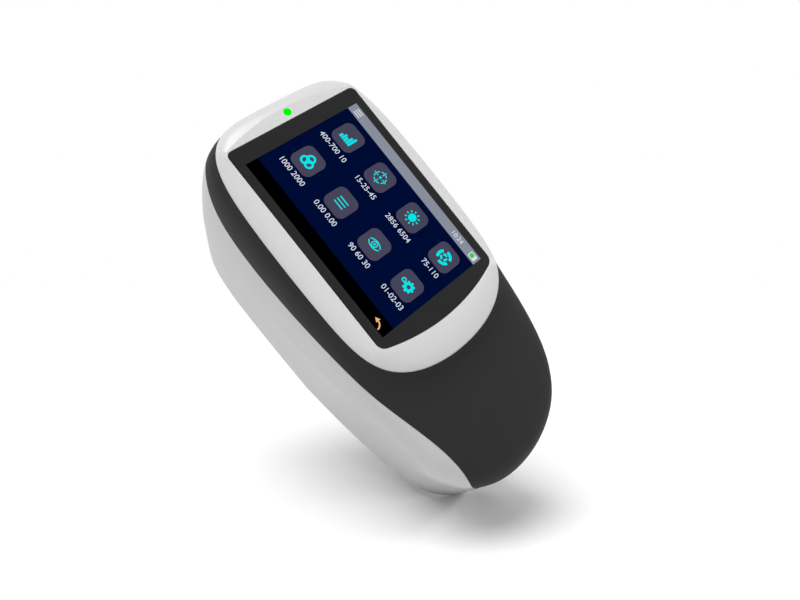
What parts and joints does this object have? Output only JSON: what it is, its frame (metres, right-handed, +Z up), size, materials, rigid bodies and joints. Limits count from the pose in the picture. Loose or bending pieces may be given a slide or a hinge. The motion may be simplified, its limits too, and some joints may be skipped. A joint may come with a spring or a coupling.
{
  "type": "multi-angle spectrophotometer",
  "caption": "Handheld colour-measuring instrument with a tilted display, rounded nose, flush side panels with grip scoops, side and rear keys, and a measuring aperture in its flat base.",
  "frame": {"origin": "middle of the body on the surface that the base stands on", "axes": "+X from the tail towards the rounded nose, +Z up through the display, +Y towards the side with the test key"},
  "size_m": [0.1828, 0.0773, 0.1052],
  "materials": {
    "housing": "fine moulded texture, charcoal",
    "panel": "smooth satin, pale grey",
    "bezel": "smooth satin, off-white",
    "cover_glass": "polished, dark printed border",
    "adhesive": "black adhesive film",
    "display": "colour display, lit",
    "foam": "open-cell foam",
    "ribbon": "amber film",
    "indicator": "lit green lens",
    "board": "green solder mask",
    "chip": "black moulded packages",
    "port": "plated shell",
    "switch": "black moulded body",
    "key": "matte, charcoal",
    "base": "fine moulded texture, charcoal",
    "foot_rubber": "matte",
    "battery": "wrapped cells",
    "sheet_metal": "plain sheet",
    "screw": "zinc plated",
    "optics_metal": "black anodised",
    "ring": "black anodised",
    "gasket": "matte",
    "clear_glass": "coated, clear",
    "sensor_can": "plated cans"
  },
  "bodies": {
    "body": {"main_housing": "housing", "side_panel_right": "panel", "side_panel_left": "panel", "top_bezel": "bezel", "display_glass": "cover_glass", "glass_tape": "adhesive", "lcd_module": "display", "lcd_cushion": "foam", "display_ribbon": "ribbon", "led_lens": "indicator", "led_board": "board", "bezel_screws": "screw", "main_board": "board", "board_screws": "screw", "board_components": "chip", "beeper": "chip", "usb_port": "port", "test_switch": "switch", "power_switch": "switch", "base_cover": "base", "base_screws": "screw", "foot_pads": "foot_rubber", "battery_pack": "battery", "battery_strap": "sheet_metal", "strap_screws": "screw", "optics_block": "optics_metal", "optics_screws": "screw", "aperture_ring": "ring", "aperture_gasket": "gasket", "aperture_window": "clear_glass", "lamp_module": "optics_metal", "lamp_lens": "clear_glass", "receiver_lenses": "clear_glass", "receiver_sensors": "sensor_can", "sensor_boards": "board"},
    "test_key": {"test_button": "key"},
    "power_key": {"power_button": "key"}
  },
  "joints": [
    {"name": "test_press", "type": "slide", "parent": "body", "child": "test_key", "axis": [0, -1, 0], "range_m": [0, 0.0005], "stiffness_N_per_m": 1500, "springref_m": -0.0005},
    {"name": "power_press", "type": "slide", "parent": "body", "child": "power_key", "axis": [0.9962, 0, -0.0872], "range_m": [0, 0.0004], "stiffness_N_per_m": 1500, "springref_m": -0.0005}
  ]
}
